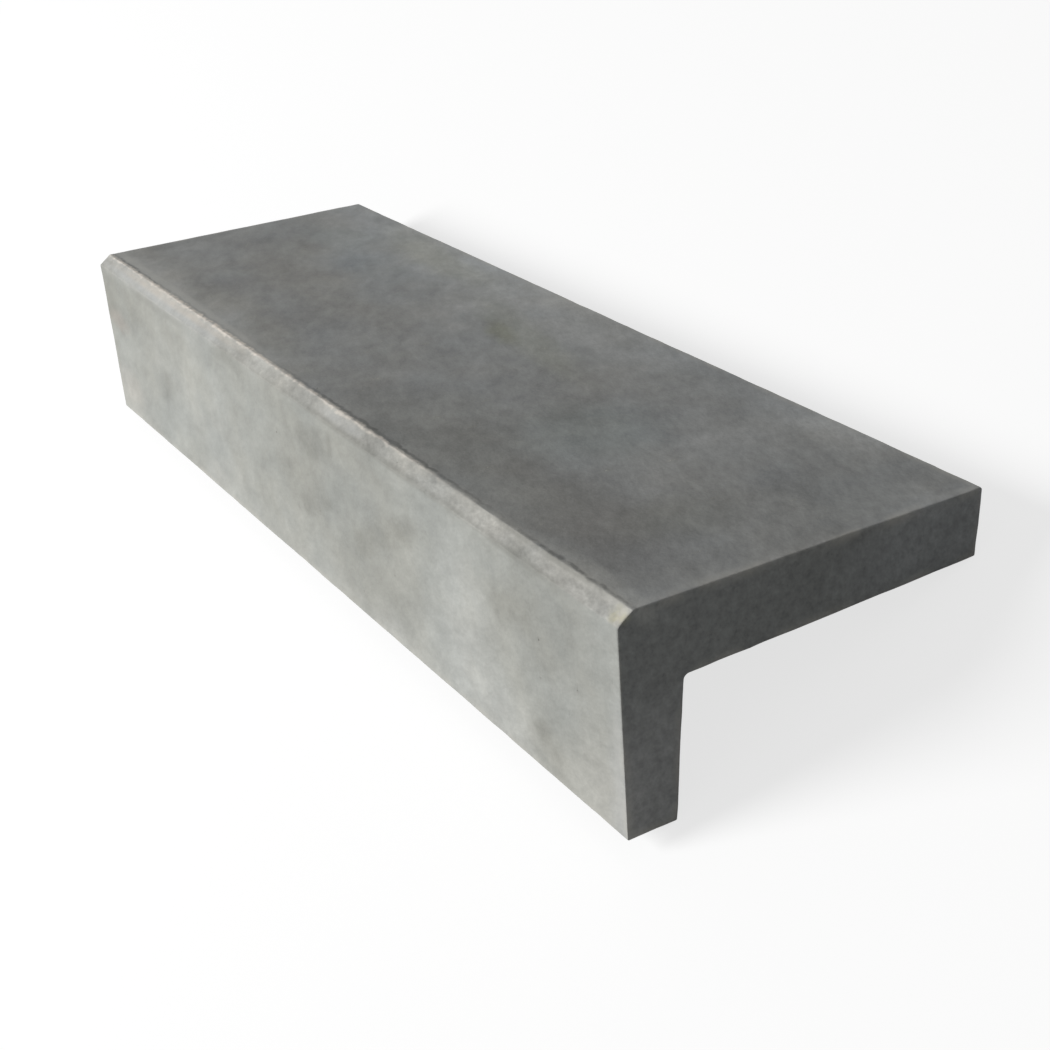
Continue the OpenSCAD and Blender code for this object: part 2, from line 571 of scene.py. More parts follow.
def cast_tree():
    """The whole step: its section swept and closed, its arrises worn, its faces in relief, and
    its pinholes sunk."""
    inputs = {
        "Geometry": ["Section"],
        "Int": ["Outline points", "Stations", "Seed"],
        "Float": ["Length", "Arris wear", "Chip size", "Waviness", "Joint line depth"]
        + ["Sandy relief", "Pinholes per square metre", "Pinhole radius"],
        "Material": ["Concrete"],
    }
    tree, given, result = new_tree("Cast the step", inputs)
    half_length = add(tree, "ShaderNodeMath", {0: given["Length"], 1: 0.5}, operation="MULTIPLY")
    body = swept_section(tree, given, half_length)
    facts = {
        name: add(tree, "GeometryNodeInputNamedAttribute", {"Name": name}, data_type=kind)
        for name, kind in {**POINT_FACTS, "at_end": "FLOAT"}.items()
    }
    sides = (facts["away"], facts["push"])
    ends = end_arris(tree, half_length, facts)
    body = worn_arrises(tree, body, given, sides, ends)
    body = relief(tree, body, given)
    clear = add(tree, "ShaderNodeMath", {0: ends[0], 1: sides[0]}, operation="MINIMUM")
    noted = {"Geometry": body, "Name": "to_arris", "Value": clear}
    body = add(tree, "GeometryNodeStoreNamedAttribute", noted, data_type="FLOAT")
    # The end plates of the mould leave no air holes, so the ends count as too near.
    clear = add(tree, "ShaderNodeMath", {0: clear, 1: facts["at_end"]}, operation="SUBTRACT")
    clear = add(tree, "FunctionNodeCompare", {"A": clear, "B": NO_HOLES}, operation="GREATER_THAN")
    body = pinholes(tree, body, given, clear)
    body = creased(tree, body)
    body = add(tree, "GeometryNodeRealizeInstances", {"Geometry": body})
    finished = {"Geometry": body, "Material": given["Concrete"]}
    body = add(tree, "GeometryNodeSetMaterial", finished)
    tree.links.new(body, result.inputs["Geometry"])
    return tree


# --------------------------------------------------------------------------- the concrete


def cleared(owner):
    """Turns on the nodes of a material or a world, and returns its node tree, emptied."""
    owner.use_nodes = True
    owner.node_tree.nodes.clear()
    return owner.node_tree


# How far apart in the noise two layers of clouds look, in millimetres.
LAYERS_APART = 370.0

# The share of a mark's reach over which it keeps its full strength, and how far a mark on a face
# or an end reaches through it, in millimetres, so that its ragged edges stay on the surface.
MARK_CORE, FACE_DEPTH, END_DEPTH = 0.25, 25, 30


def mottled(tree, place, colour, layers, gain):
    """Adds nodes that make a colour lighter and darker in soft clouds. Each layer gives a
    blotch's size in millimetres, how far the layer lightens or darkens, and how broken it is.
    The gain strengthens or weakens them all."""
    total = 0.0
    for i, (size, strength, detail) in enumerate(layers):
        # Each layer looks at its own part of the noise, so that no two clouds line up.
        apart = (i * LAYERS_APART, 0, 0)
        shifted = add(tree, "ShaderNodeVectorMath", {0: place, 1: apart}, operation="ADD")
        noise = {"Vector": shifted, "Scale": 1 / size, "Detail": detail}
        cloud = add(tree, "ShaderNodeTexNoise", noise)
        cloud = add(tree, "ShaderNodeMath", {0: cloud, 1: 0.5}, operation="SUBTRACT")
        sum_so_far = {0: cloud, 1: strength, 2: total}
        total = add(tree, "ShaderNodeMath", sum_so_far, operation="MULTIPLY_ADD")
    total = add(tree, "ShaderNodeMath", {0: total, 1: gain, 2: 1.0}, operation="MULTIPLY_ADD")
    return add(tree, "ShaderNodeVectorMath", {0: colour, "Scale": total}, operation="SCALE")


def by_face(tree, share, value, others):
    """Adds nodes for a number that has one value on most faces, and others on those named."""
    for name, other in others.items():
        blend = {"Factor": share[name], "A": value, "B": other}
        value = add(tree, "ShaderNodeMix", blend, data_type="FLOAT")
    return value


def marked(tree, place, colour, marks, showing=1.0):
    """Adds nodes that lay soft-edged marks over a colour, one after the other, each as far as
    showing lets it. Only turned marks have a Mapping node, and no share is clamped: Cycles keeps
    every Mapping node's vector at once, and a hundred of them don't fit in one shader."""
    for mark in marks:
        turned, middle = place, mark.place
        if any(mark.turn):
            turn = {"Vector": place, "Rotation": mark.turn}
            turned = add(tree, "ShaderNodeMapping", turn, vector_type="TEXTURE")
            middle = Euler(mark.turn).to_matrix().inverted() @ mark.place
        scale = Vector(1 / reach for reach in mark.reach)
        centred = {0: turned, 1: scale, 2: -middle * scale}
        near = add(tree, "ShaderNodeVectorMath", centred, operation="MULTIPLY_ADD")
        away = add(tree, "ShaderNodeVectorMath", {0: near}, operation="LENGTH")
        fade = {
            "Value": away.node.outputs["Value"],
            "From Min": MARK_CORE,
            "From Max": 1.0,
            "To Min": mark.strength,
            "To Max": 0.0,
        }
        softly = {"interpolation_type": "SMOOTHSTEP", "clamp": False}
        share = add(tree, "ShaderNodeMapRange", fade, **softly)
        share = add(tree, "ShaderNodeMath", {0: share, 1: showing}, operation="MULTIPLY")
        blend = {"Factor": share, "A": colour, "B": (*linear(mark.colour), 1)}
        colour = add(tree, "ShaderNodeMix", blend, data_type="RGBA")
    return colour


def on_front(x, down, along, tall, colour, strength, turn=0):
    """A mark on the front: how far its middle lies from the left end and below the chamfer, and
    how far it reaches."""
    place = upright_mm(NOSE_LOW) + Vector((x, 0, -down))
    return Mark(place, (along, FACE_DEPTH, tall), (0, math.radians(turn), 0), colour, strength)


def on_top(x, behind, along, deep, colour, strength, turn=0):
    """A mark on the top: how far its middle lies from the left end and behind the nosing, and
    how far it reaches."""
    place = upright_mm(NOSE_TOP) + Vector((x, behind, 0))
    return Mark(place, (along, deep, FACE_DEPTH), (0, 0, math.radians(turn)), colour, strength)


def on_right_end(behind, down, deep, tall, colour, strength):
    """A mark on the right end: how far its middle lies behind the front and below the top, and
    how far it reaches."""
    place = Vector((LENGTH / MM, behind, upright_mm(NOSE_TOP).z - down))
    return Mark(place, (END_DEPTH, deep, tall), (0, 0, 0), colour, strength)


def along_arris(corner, x, behind, above, along, wide, colour, strength):
    """A line beside an arris of the nosing: how far its middle lies from the left end, behind
    the arris and above it, and how far it reaches along the arris and across it."""
    place = upright_mm(corner) + Vector((x, behind, above))
    return Mark(place, (along, wide, wide), (0, 0, 0), colour, strength)


# The tones that the skin leans to: damp, dry and dirty, tints of them, and the sand of rubbed
# arrises. The damp tone also paints shade in the mould's joint line. The dry one paints bounce light
# along the front's foot. The pale and the dry ones paint sheen along the top's back edge.
DAMP_AND_SHADE, DRY_AND_LIT, PALE_AND_SHEEN, DULL, DIRT = "#84847e", "#bfbfba", "#c1c3c2", "#7c7b79", "#565756"
WARM, COOL, OLIVE, ROSE = "#9d9a92", "#8f979c", "#8f8f7c", "#b3a8a0"
CREAM, STRAW = "#e7dfd4", "#cac5a4"

# Marks that the mould, the drying and the handling left, and painted sheen and bounce light, in the
# order that they lie.
MARKS = [
    # Soft on the front: lighter towards its foot, which is painted bounce light from the floor,
    # darker in the middle and at the top left, and smaller ones that break these up.
    on_front(560, 166, 560, 42, DRY_AND_LIT, 0.2),
    on_front(850, 152, 160, 46, DRY_AND_LIT, 0.4),
    on_front(985, 145, 55, 60, DRY_AND_LIT, 0.35),
    on_front(20, 150, 62, 46, DRY_AND_LIT, 0.4),
    on_front(260, 75, 190, 75, DRY_AND_LIT, 0.1),
    on_front(790, 80, 60, 85, DRY_AND_LIT, 0.35),
    on_front(30, 28, 120, 62, DAMP_AND_SHADE, 0.42),
    on_front(485, 62, 190, 80, DAMP_AND_SHADE, 0.36),
    on_front(660, 95, 150, 65, DAMP_AND_SHADE, 0.14),
    on_front(905, 40, 85, 60, DAMP_AND_SHADE, 0.34),
    on_front(440, 8, 430, 34, DAMP_AND_SHADE, 0.2),
    on_front(655, 10, 110, 24, DAMP_AND_SHADE, 0.15),
    on_front(25, 50, 42, 26, DAMP_AND_SHADE, 0.22),
    on_front(280, 158, 50, 30, DRY_AND_LIT, 0.2),
    on_front(465, 158, 110, 28, DAMP_AND_SHADE, 0.16),
    on_front(657, 158, 45, 28, DRY_AND_LIT, 0.18),
    on_front(905, 150, 42, 44, DAMP_AND_SHADE, 0.44),
    on_front(690, 40, 150, 38, DAMP_AND_SHADE, 0.2),
    on_front(55, 36, 85, 38, DAMP_AND_SHADE, 0.15),
    on_front(405, 125, 42, 28, DAMP_AND_SHADE, 0.22),
    on_front(975, 150, 32, 38, DRY_AND_LIT, 0.16),
    on_front(310, 140, 75, 36, DRY_AND_LIT, 0.12),
    on_front(690, 158, 65, 24, DRY_AND_LIT, 0.12),
    on_front(55, 135, 85, 45, DRY_AND_LIT, 0.16),
    on_front(155, 82, 42, 24, DRY_AND_LIT, 0.2),
    on_front(285, 150, 45, 28, DRY_AND_LIT, 0.16),
    on_front(775, 118, 115, 36, DRY_AND_LIT, 0.17),
    on_front(655, 152, 45, 28, DRY_AND_LIT, 0.17),
    on_front(970, 118, 34, 58, DRY_AND_LIT, 0.16),
    on_front(265, 12, 70, 22, DRY_AND_LIT, 0.16),
    on_front(280, 50, 42, 22, DAMP_AND_SHADE, 0.16),
    on_front(30, 48, 45, 24, DAMP_AND_SHADE, 0.2),
    on_front(405, 105, 45, 42, DAMP_AND_SHADE, 0.2),
    on_front(595, 62, 48, 45, DAMP_AND_SHADE, 0.18),
    on_front(845, 50, 42, 25, DAMP_AND_SHADE, 0.26),
    on_front(800, 16, 90, 26, DAMP_AND_SHADE, 0.13),
    on_front(905, 108, 38, 60, DAMP_AND_SHADE, 0.17),
    # Clear on the front: damp patches, and two rosy ones near the left end.
    on_front(160, 95, 32, 26, DAMP_AND_SHADE, 0.45, turn=-15),
    on_front(360, 10, 40, 13, DAMP_AND_SHADE, 0.4),
    on_front(540, 30, 60, 24, DAMP_AND_SHADE, 0.42),
    on_front(573, 20, 10, 18, DAMP_AND_SHADE, 0.45),
    on_front(635, 85, 75, 22, DAMP_AND_SHADE, 0.5, turn=-30),
    on_front(700, 50, 34, 16, DAMP_AND_SHADE, 0.45, turn=-20),
    on_front(550, 85, 24, 11, DAMP_AND_SHADE, 0.4, turn=-15),
    on_front(505, 98, 17, 17, DAMP_AND_SHADE, 0.4),
    on_front(900, 128, 18, 15, DAMP_AND_SHADE, 0.5),
    on_front(880, 2, 30, 12, DAMP_AND_SHADE, 0.45),
    on_front(95, 35, 40, 16, DAMP_AND_SHADE, 0.2, turn=-10),
    on_front(30, 55, 45, 18, ROSE, 0.3),
    on_front(35, 130, 60, 34, ROSE, 0.15),
    # Soft on the top: lighter along both edges towards the left, darker at the front right, and
    # smaller ones that break these up. The lighter band along the back edge is painted sheen: the
    # bright surroundings as they would reflect at a grazing angle.
    on_top(380, 300, 520, 110, PALE_AND_SHEEN, 0.5),
    on_top(240, 300, 320, 40, PALE_AND_SHEEN, 0.2),
    on_top(270, 205, 230, 110, PALE_AND_SHEEN, 0.24),
    on_top(170, 8, 360, 36, PALE_AND_SHEEN, 0.42),
    on_top(150, 9, 310, 13, PALE_AND_SHEEN, 0.3),
    on_top(360, 22, 140, 40, DRY_AND_LIT, 0.14),
    on_top(710, 35, 230, 85, DAMP_AND_SHADE, 0.42),
    on_top(900, 55, 100, 62, DULL, 0.5),
    on_top(790, 68, 60, 30, DULL, 0.35),
    on_top(950, 8, 110, 14, DRY_AND_LIT, 0.45),
    on_top(960, 190, 90, 150, DAMP_AND_SHADE, 0.14),
    # The pale marks near the back edge here and below are more painted sheen.
    on_top(180, 300, 240, 62, PALE_AND_SHEEN, 0.38),
    on_top(875, 300, 90, 42, PALE_AND_SHEEN, 0.2),
    on_top(370, 245, 220, 52, PALE_AND_SHEEN, 0.16),
    on_top(625, 95, 85, 34, DAMP_AND_SHADE, 0.25),
    on_top(905, 110, 48, 60, DAMP_AND_SHADE, 0.36),
    on_top(405, 24, 48, 26, DAMP_AND_SHADE, 0.2),
    on_top(975, 225, 40, 75, DRY_AND_LIT, 0.14),
    on_top(230, 20, 420, 55, WARM, 0.3),
    on_top(150, 290, 200, 55, "#999fa6", 0.22),
    on_top(280, 28, 125, 42, DRY_AND_LIT, 0.15),
    on_top(235, 303, 165, 32, PALE_AND_SHEEN, 0.26),
    on_top(810, 303, 95, 36, PALE_AND_SHEEN, 0.22),
    on_top(125, 170, 75, 40, DAMP_AND_SHADE, 0.26),
    on_top(500, 172, 150, 34, PALE_AND_SHEEN, 0.15),
    on_top(475, 95, 75, 32, DAMP_AND_SHADE, 0.2),
    on_top(155, 292, 80, 48, DRY_AND_LIT, 0.45),
    on_top(25, 272, 65, 62, PALE_AND_SHEEN, 0.22),
    on_top(345, 268, 80, 50, PALE_AND_SHEEN, 0.3),
    on_top(520, 250, 90, 34, PALE_AND_SHEEN, 0.2),
    on_top(860, 272, 100, 50, PALE_AND_SHEEN, 0.17),
    on_top(345, 145, 50, 72, PALE_AND_SHEEN, 0.2),
    on_top(560, 165, 85, 32, PALE_AND_SHEEN, 0.17),
    on_top(25, 165, 45, 40, PALE_AND_SHEEN, 0.2),
    on_top(280, 15, 110, 26, PALE_AND_SHEEN, 0.17),
    on_top(470, 18, 42, 25, DAMP_AND_SHADE, 0.2),
    on_top(905, 95, 48, 50, DAMP_AND_SHADE, 0.2),
    # Tinted on the top.
    on_top(250, 268, 170, 38, "#b3b4a6", 0.35, turn=-4),
    on_top(520, 213, 170, 34, "#a8a99b", 0.35, turn=-10),
    on_top(110, 223, 90, 45, "#a3a9a8", 0.35),
    on_top(230, 208, 95, 60, COOL, 0.36),
    on_top(490, 203, 50, 20, OLIVE, 0.5, turn=-15),
    on_top(260, 128, 180, 50, WARM, 0.25),
    on_top(740, 138, 90, 80, "#8d9694", 0.35),
    # On the right end: paler towards the back, and towards the foot in painted bounce light from the
    # floor.
    on_right_end(280, 25, 130, 60, "#b0b3b5", 0.6),
    on_right_end(25, 160, 60, 140, "#b2b3b3", 0.7),
]

# Narrow bands that keep to their arris.
BANDS = [
    # The mould's joint line at the chamfer's foot, darkened in painted shade of its shallow groove,
    # and damp on the chamfer itself.
    along_arris(NOSE_LOW, 165, 0.0, -5.0, 110, 9.0, DAMP_AND_SHADE, 0.42),
    along_arris(NOSE_LOW, 650, 1.2, 0.9, 350, 5.0, DAMP_AND_SHADE, 0.56),
    along_arris(NOSE_LOW, 880, 0.0, -0.9, 70, 5.0, DAMP_AND_SHADE, 0.5),
    along_arris(NOSE_TOP, 455, -5.6, -4.2, 170, 9.0, DAMP_AND_SHADE, 0.25),
    along_arris(NOSE_TOP, 790, -7.0, -5.2, 60, 8.0, DAMP_AND_SHADE, 0.15),
    along_arris(NOSE_TOP, 875, -7.0, -5.2, 50, 8.0, DAMP_AND_SHADE, 0.12),
    along_arris(NOSE_TOP, 890, -1.2, -0.9, 100, 3.0, DAMP_AND_SHADE, 0.5),
    # Paler and warmer above it towards the left, and paler on the top behind the nosing.
    along_arris(NOSE_LOW, 175, 3.5, 2.6, 240, 6.5, PALE_AND_SHEEN, 0.5),
    along_arris(NOSE_TOP, 590, -5.0, -3.8, 60, 8.0, PALE_AND_SHEEN, 0.4),
    along_arris(NOSE_TOP, 200, -4.0, -3.0, 230, 6.0, "#cfc7bc", 0.5),
    along_arris(NOSE_TOP, 150, 10.0, 0, 260, 7.5, DRY_AND_LIT, 0.95),
    along_arris(NOSE_TOP, 35, 12.0, 0, 55, 9.0, DRY_AND_LIT, 0.4),
    along_arris(NOSE_TOP, 310, 8.0, 0, 120, 7.5, DRY_AND_LIT, 0.7),
    # Rubbed paler beside the right end, on the chamfer, the top and the front.
    along_arris(NOSE_TOP, 995, -6.0, -4.5, 5, 9.0, CREAM, 0.4),
    along_arris(NOSE_TOP, 994, 50, 0, 6, 62, DRY_AND_LIT, 0.3),
    along_arris(NOSE_TOP, 994, 265, 0, 6, 60, DRY_AND_LIT, 0.3),
    along_arris(NOSE_LOW, 993, 0, -110, 7, 90, DRY_AND_LIT, 0.34),
]

# Lines along the nosing's upper arris that wander as it crumbles: dirt right behind it, the cream
# thread that it is rubbed to, and straw at its right end. The second list is also broken into
# crumbs.
DIRT_LINE = [
    along_arris(NOSE_TOP, 260, 4.8, 0, 200, 2.8, DIRT, 0.24),
    along_arris(NOSE_TOP, 625, 4.6, 0, 270, 3.3, DIRT, 0.7),
]
CRUMBLED = [
    along_arris(NOSE_TOP, 70, 4.4, 0, 125, 2.8, DIRT, 0.52),
    along_arris(NOSE_TOP, 925, 2.8, 0, 115, 3.0, DIRT, 0.54),
    along_arris(NOSE_TOP, 260, 1.2, 0, 380, 3.9, CREAM, 1.0),
    along_arris(NOSE_TOP, 60, 0.7, 0, 110, 3.4, CREAM, 0.6),
    along_arris(NOSE_TOP, 370, 0.6, 0, 90, 3.4, CREAM, 0.5),
    along_arris(NOSE_TOP, 600, 0.5, -0.1, 220, 3.4, CREAM, 0.66),
    along_arris(NOSE_TOP, 992, -6.0, -4.5, 12, 9.0, STRAW, 0.5),
]

# Blotch size in millimetres, strength and detail of each layer of clouds, wisps and sand. Real
# sand is finer than a millimetre, and is drawn coarser to show.
CLOUDS = ((240, 0.2, 2.0), (95, 0.34, 3.0))
WISPS = ((34, 0.29, 2.0), (15, 0.3, 2.0))
SAND = ((6.0, 0.42, 2.0), (2.2, 0.3, 2.0))

# How strongly the clouds and wisps show on some faces, against 1 on the others, and the sand. The
# sand also gets stronger between two places along the step, in millimetres, from gain to gain.
CLOUD_GAINS = {"on_top": 1.4, "on_chamfer": 1.7}
SAND_GAINS = {"on_front": 0.45, "on_top": 0.65, "on_chamfer": 1.1}
SANDIER = {"From Min": 150, "From Max": 950, "To Min": 0.8, "To Max": 1.5}

# Wisps and sand are drawn out this many times along a line aslant of the step, up the front and
# down towards the nosing on the top, the way that the wet mix was spread in its mould.
DRAWN_OUT = 2.3
ASLANT = Vector((1, 0, 0)).rotation_difference(Vector((1, -0.45, 0.45))).to_euler()
DRAWN = {"Rotation": ASLANT, "Scale": (DRAWN_OUT, 1, 1)}

# The tint drifts between warm, where the cement is drier, and cool, each given as gains of red,
# green and blue. The ends keep one tint.
TINT_PATCHES, END_TINT = Patches(90, 4.0, (0.35, 0.65), (0.0, 1.0)), 0.5
WARM_TINT, COOL_TINT = (1.01, 1.0, 0.98, 1), (0.99, 1.003, 1.014, 1)

# Where arrises rub pale, how unevenly the bands beside them show, and how crumbled the lines are.
RUBBED_PATCHES = Patches(28, 4.0, (0.4, 0.6), (0.05, 1.0))
BAND_PATCHES = Patches(28, 4.0, (0.4, 0.6), (0.6, 1.0))
CRUMBS = Patches(8, 2.0, (0.37, 0.58), (0.3, 1.0))

# The rubbed band's width and strength, and the strength of what has worn away.
RUBBED_WIDTH, RUBBED, WORN = 9 * MM, 0.55, 0.6

# A sand grain's size in millimetres, drawn coarser than it is, and how far it stands out.
GRAIN, PROUD = 2.4, 0.25 * MM


def wandering(tree, place, size, reach, start=None):
    """Adds nodes that shift a place at random, by up to half of reach and over lengths of about
    size, so that what is laid there gets ragged edges. It starts from another shifted place, if
    one is given."""
    noise = {"Vector": place, "Scale": 1 / size, "Detail": 2.0}
    drawn = add(tree, "ShaderNodeTexNoise", noise).node.outputs["Color"]
    half = (0.5, 0.5, 0.5)
    way = add(tree, "ShaderNodeVectorMath", {0: drawn, 1: half}, operation="SUBTRACT")
    shift = {0: way, 1: (reach, reach, reach), 2: start or place}
    return add(tree, "ShaderNodeVectorMath", shift, operation="MULTIPLY_ADD")


def face_tones(tree, share, finish):
    """Adds nodes that give each face its tone, blended where one face turns into the next. The ends'
    darker tone is painted shade, and so is part of the top's slightly darker one.
    """
    colour = (*finish.hidden, 1)
    for name, face_colour in (
        ("at_end", finish.ends),
        ("on_front", finish.front),
        ("on_top", finish.top),
        ("on_chamfer", finish.chamfer),
    ):
        blend = {"Factor": share[name], "A": colour, "B": (*face_colour, 1)}
        colour = add(tree, "ShaderNodeMix", blend, data_type="RGBA")
    return colour


def tinted(tree, place, share, colour):
    """Adds nodes that drift a colour's tint."""
    drift = patchy(tree, place, TINT_PATCHES)
    drift = by_face(tree, share, drift, {"at_end": END_TINT})
    blend = {"Factor": drift, "A": WARM_TINT, "B": COOL_TINT}
    tint = add(tree, "ShaderNodeMix", blend, data_type="RGBA")
    return add(tree, "ShaderNodeVectorMath", {0: colour, 1: tint}, operation="MULTIPLY")


def clouded(tree, place, slow, share, colour):
    """Adds nodes for the clouds of uneven drying, for wisps, and for the sand in the skin."""
    cloudy = by_face(tree, share, 1.0, CLOUD_GAINS)
    colour = mottled(tree, slow, colour, CLOUDS, cloudy)
    wisps_place, sand_place = (
        add(tree, "ShaderNodeMapping", {"Vector": start, **DRAWN}, vector_type="TEXTURE")
        for start in (slow, place)
    )
    colour = mottled(tree, wisps_place, colour, WISPS, cloudy)
    x = add(tree, "ShaderNodeSeparateXYZ", {"Vector": place}).node.outputs["X"]
    sandier = add(tree, "ShaderNodeMapRange", {"Value": x, **SANDIER})
    sandy = by_face(tree, share, 1.0, SAND_GAINS)
    sandy = add(tree, "ShaderNodeMath", {0: sandy, 1: sandier}, operation="MULTIPLY")
    return mottled(tree, sand_place, colour, SAND, sandy)


def rubbed(tree, place, share, colour, finish):
    """Adds nodes that rub the arrises pale in patches: a faint band along each, and more where
    it has worn away."""
    band = {"Value": share["to_arris"], "From Max": RUBBED_WIDTH, "To Min": RUBBED, "To Max": 0.0}
    band = add(tree, "ShaderNodeMapRange", band, interpolation_type="SMOOTHSTEP")
    pale = add(tree, "ShaderNodeMath", {0: share["worn"], 1: WORN}, operation="MULTIPLY")
    pale = add(tree, "ShaderNodeMath", {0: pale, 1: band}, operation="MAXIMUM")
    for part in (patchy(tree, place, RUBBED_PATCHES), share["rubs"]):
        pale = add(tree, "ShaderNodeMath", {0: pale, 1: part}, operation="MULTIPLY")
    blend = {"Factor": pale, "A": colour, "B": (*finish.worn, 1)}
    return add(tree, "ShaderNodeMix", blend, data_type="RGBA")


def concrete(finish):
    """Precast concrete, cast against a steel mould and dried pale: a matt skin of cement paste
    over sand, in soft grey clouds where it dried unevenly."""
    material = bpy.data.materials.new("precast concrete")
    tree = cleared(material)
    position = add(tree, "ShaderNodeTexCoord").node.outputs["Object"]
    to_upright = {
        "Vector": position,
        "Location": TO_UPRIGHT.to_translation() / MM,
        "Rotation": TO_UPRIGHT.to_euler(),
        "Scale": (1 / MM, 1 / MM, 1 / MM),
    }
    place = add(tree, "ShaderNodeMapping", to_upright)
    share = {
        name: add(tree, "ShaderNodeAttribute", attribute_name=name).node.outputs["Fac"]
        for name in (*SEEN_FACES, "at_end", "worn", "rubs", "to_arris")
    }
    slow = wandering(tree, place, size=70, reach=26.0)
    ragged = wandering(tree, place, size=14, reach=8.0, start=slow)
    crumbled = wandering(tree, place, size=12, reach=7.0)
    colour = face_tones(tree, share, finish)
    colour = marked(tree, ragged, colour, MARKS)
    colour = tinted(tree, place, share, colour)
    colour = clouded(tree, place, slow, share, colour)
    colour = rubbed(tree, place, share, colour, finish)
    uneven = patchy(tree, place, BAND_PATCHES)
    colour = marked(tree, place, colour, BANDS, uneven)
    colour = marked(tree, crumbled, colour, DIRT_LINE, uneven)
    colour = marked(tree, crumbled, colour, CRUMBLED, patchy(tree, place, CRUMBS))
    # Sand grains stand a little proud of the paste, and dull it where they do.
    grain = {"Vector": place, "Scale": 1 / GRAIN, "Detail": 3.0}
    grain = add(tree, "ShaderNodeTexNoise", grain)
    bump = {"Height": grain, "Distance": PROUD, "Strength": 0.6}
    dullness = {"Value": grain, "From Min": 0.3, "From Max": 0.7, "To Min": 0.78, "To Max": 0.92}
    skin = {
        "Base Color": colour,
        "Roughness": add(tree, "ShaderNodeMapRange", dullness),
        "Specular IOR Level": 0.25,
        "Normal": add(tree, "ShaderNodeBump", bump),
    }
    shader = add(tree, "ShaderNodeBsdfPrincipled", skin)
    add(tree, "ShaderNodeOutputMaterial", {"Surface": shader})
    return material


# ------------------------------------------------------------------------------ the stage


WHITE = (*linear("#ffffff"), 1)


def seen(tree):
    """Adds nodes that give 1 to the rays that show a thing to the eye, straight or by way of
    metal or glass, and 0 to those that only light other things."""
    rays = add(tree, "ShaderNodeLightPath").node.outputs
    share = rays["Is Camera Ray"]
    for other in ("Is Glossy Ray", "Is Transmission Ray"):
        share = add(tree, "ShaderNodeMath", {0: share, 1: rays[other]}, operation="MAXIMUM")
    return share


def surroundings(studio):
    """A world that looks white, and lights the step only as much as the studio says."""
    world = bpy.data.worlds.new("studio")
    tree = cleared(world)
    blend = {"Factor": seen(tree), "A": studio.ambient, "B": 1.0}
    strength = add(tree, "ShaderNodeMix", blend, data_type="FLOAT")
    light = add(tree, "ShaderNodeBackground", {"Color": WHITE, "Strength": strength})
    add(tree, "ShaderNodeOutputWorld", {"Surface": light})
    return world


def floor_paint(studio):
    """Matt pale paint: it lights the step as plain grey does, and looks nearly white itself,
    with a soft grey shadow round the step. Further off it fades into the white surroundings."""
    material = bpy.data.materials.new("studio floor paint")
    tree = cleared(material)
    plain = add(tree, "ShaderNodeBsdfDiffuse", {"Color": (*studio.floor, 1)})
    glow = add(tree, "ShaderNodeEmission", {"Color": WHITE, "Strength": studio.floor_glow})
    bright = add(tree, "ShaderNodeAddShader", {0: plain, 1: glow})
    place = add(tree, "ShaderNodeTexCoord").node.outputs["Object"]
    away = add(tree, "ShaderNodeVectorMath", {0: place}, operation="LENGTH")
    fade = {
        "Value": away.node.outputs["Value"],
        "From Min": studio.floor_fade,
        "From Max": studio.floor_width / 2,
    }
    far = add(tree, "ShaderNodeMapRange", fade, interpolation_type="SMOOTHSTEP")
    white = add(tree, "ShaderNodeEmission", {"Color": WHITE, "Strength": 1.0})
    bright = add(tree, "ShaderNodeMixShader", {0: far, 1: bright, 2: white})
    look = add(tree, "ShaderNodeMixShader", {0: seen(tree), 1: plain, 2: bright})
    add(tree, "ShaderNodeOutputMaterial", {"Surface": look})
    return material


# ------------------------------------------------------------------------------ the add-on


def count(name, description, default):
    """A property that holds a whole number."""
    return IntProperty(name=name, description=description, default=default)


def number(name, description, default):
    """A property that holds a plain number."""
    return FloatProperty(name=name, description=description, default=default)


def metres(name, description, default):
    """A property that holds a length in metres."""
    return FloatProperty(
        name=name, description=description, default=default, min=0.0, precision=5, unit="LENGTH"
    )


def tone(name, description, hex_colour):
    """A property that holds a colour, given as its sRGB hex value."""
    return FloatVectorProperty(
        name=name, description=description, default=linear(hex_colour), subtype="COLOR", min=0, max=1
    )


def spot(name, description, default):
    """A property that holds a place, in metres."""
    return FloatVectorProperty(
        name=name, description=description, default=default, subtype="TRANSLATION", unit="LENGTH"
    )


class StepShape(bpy.types.PropertyGroup):
    """How finely the step is meshed, and how its cast skin and its wear go"""

    arc_flats: count("Corner flats", "Flats in each round corner of the section", 6)
    finest: metres("Finest gap", "Gap between the section's points beside an arris", 0.5 * MM)
    widest: metres("Widest gap", "Gap between the section's points far from an arris", 9 * MM)
    growth: number("Growth", "How much wider each gap is than the one before", 1.5)
    stations: count("Stations", "Cross sections along the step", 340)
    arris_wear: metres("Arris wear", "How far from an arris its rounding reaches", 1.6 * MM)
    chip_size: metres("Chip size", "How far from an arris the widest chips reach", 1.6 * MM)
    waviness: metres("Waviness", "How deep the waves in the cast faces are", 0.25 * MM)
    joint_line_depth: metres("Joint line depth", "Depth of the mould's joint line", 0.15 * MM)
    joint_line_rise: metres("Joint line rise", "Its distance up the chamfer", 2.4 * MM)
    joint_line_reach: metres("Joint line reach", "Half of its width", 1.4 * MM)
    sandy_relief: metres("Sandy relief", "Depth of the chamfer's coarse skin", 0.15 * MM)
    pinholes: number("Pinholes", "Air holes to a square metre of face", 170.0)
    pinhole_radius: metres("Pinhole radius", "Radius of the largest air holes", 0.9 * MM)
    seed: count("Seed", "Seed of every random draw", 7)


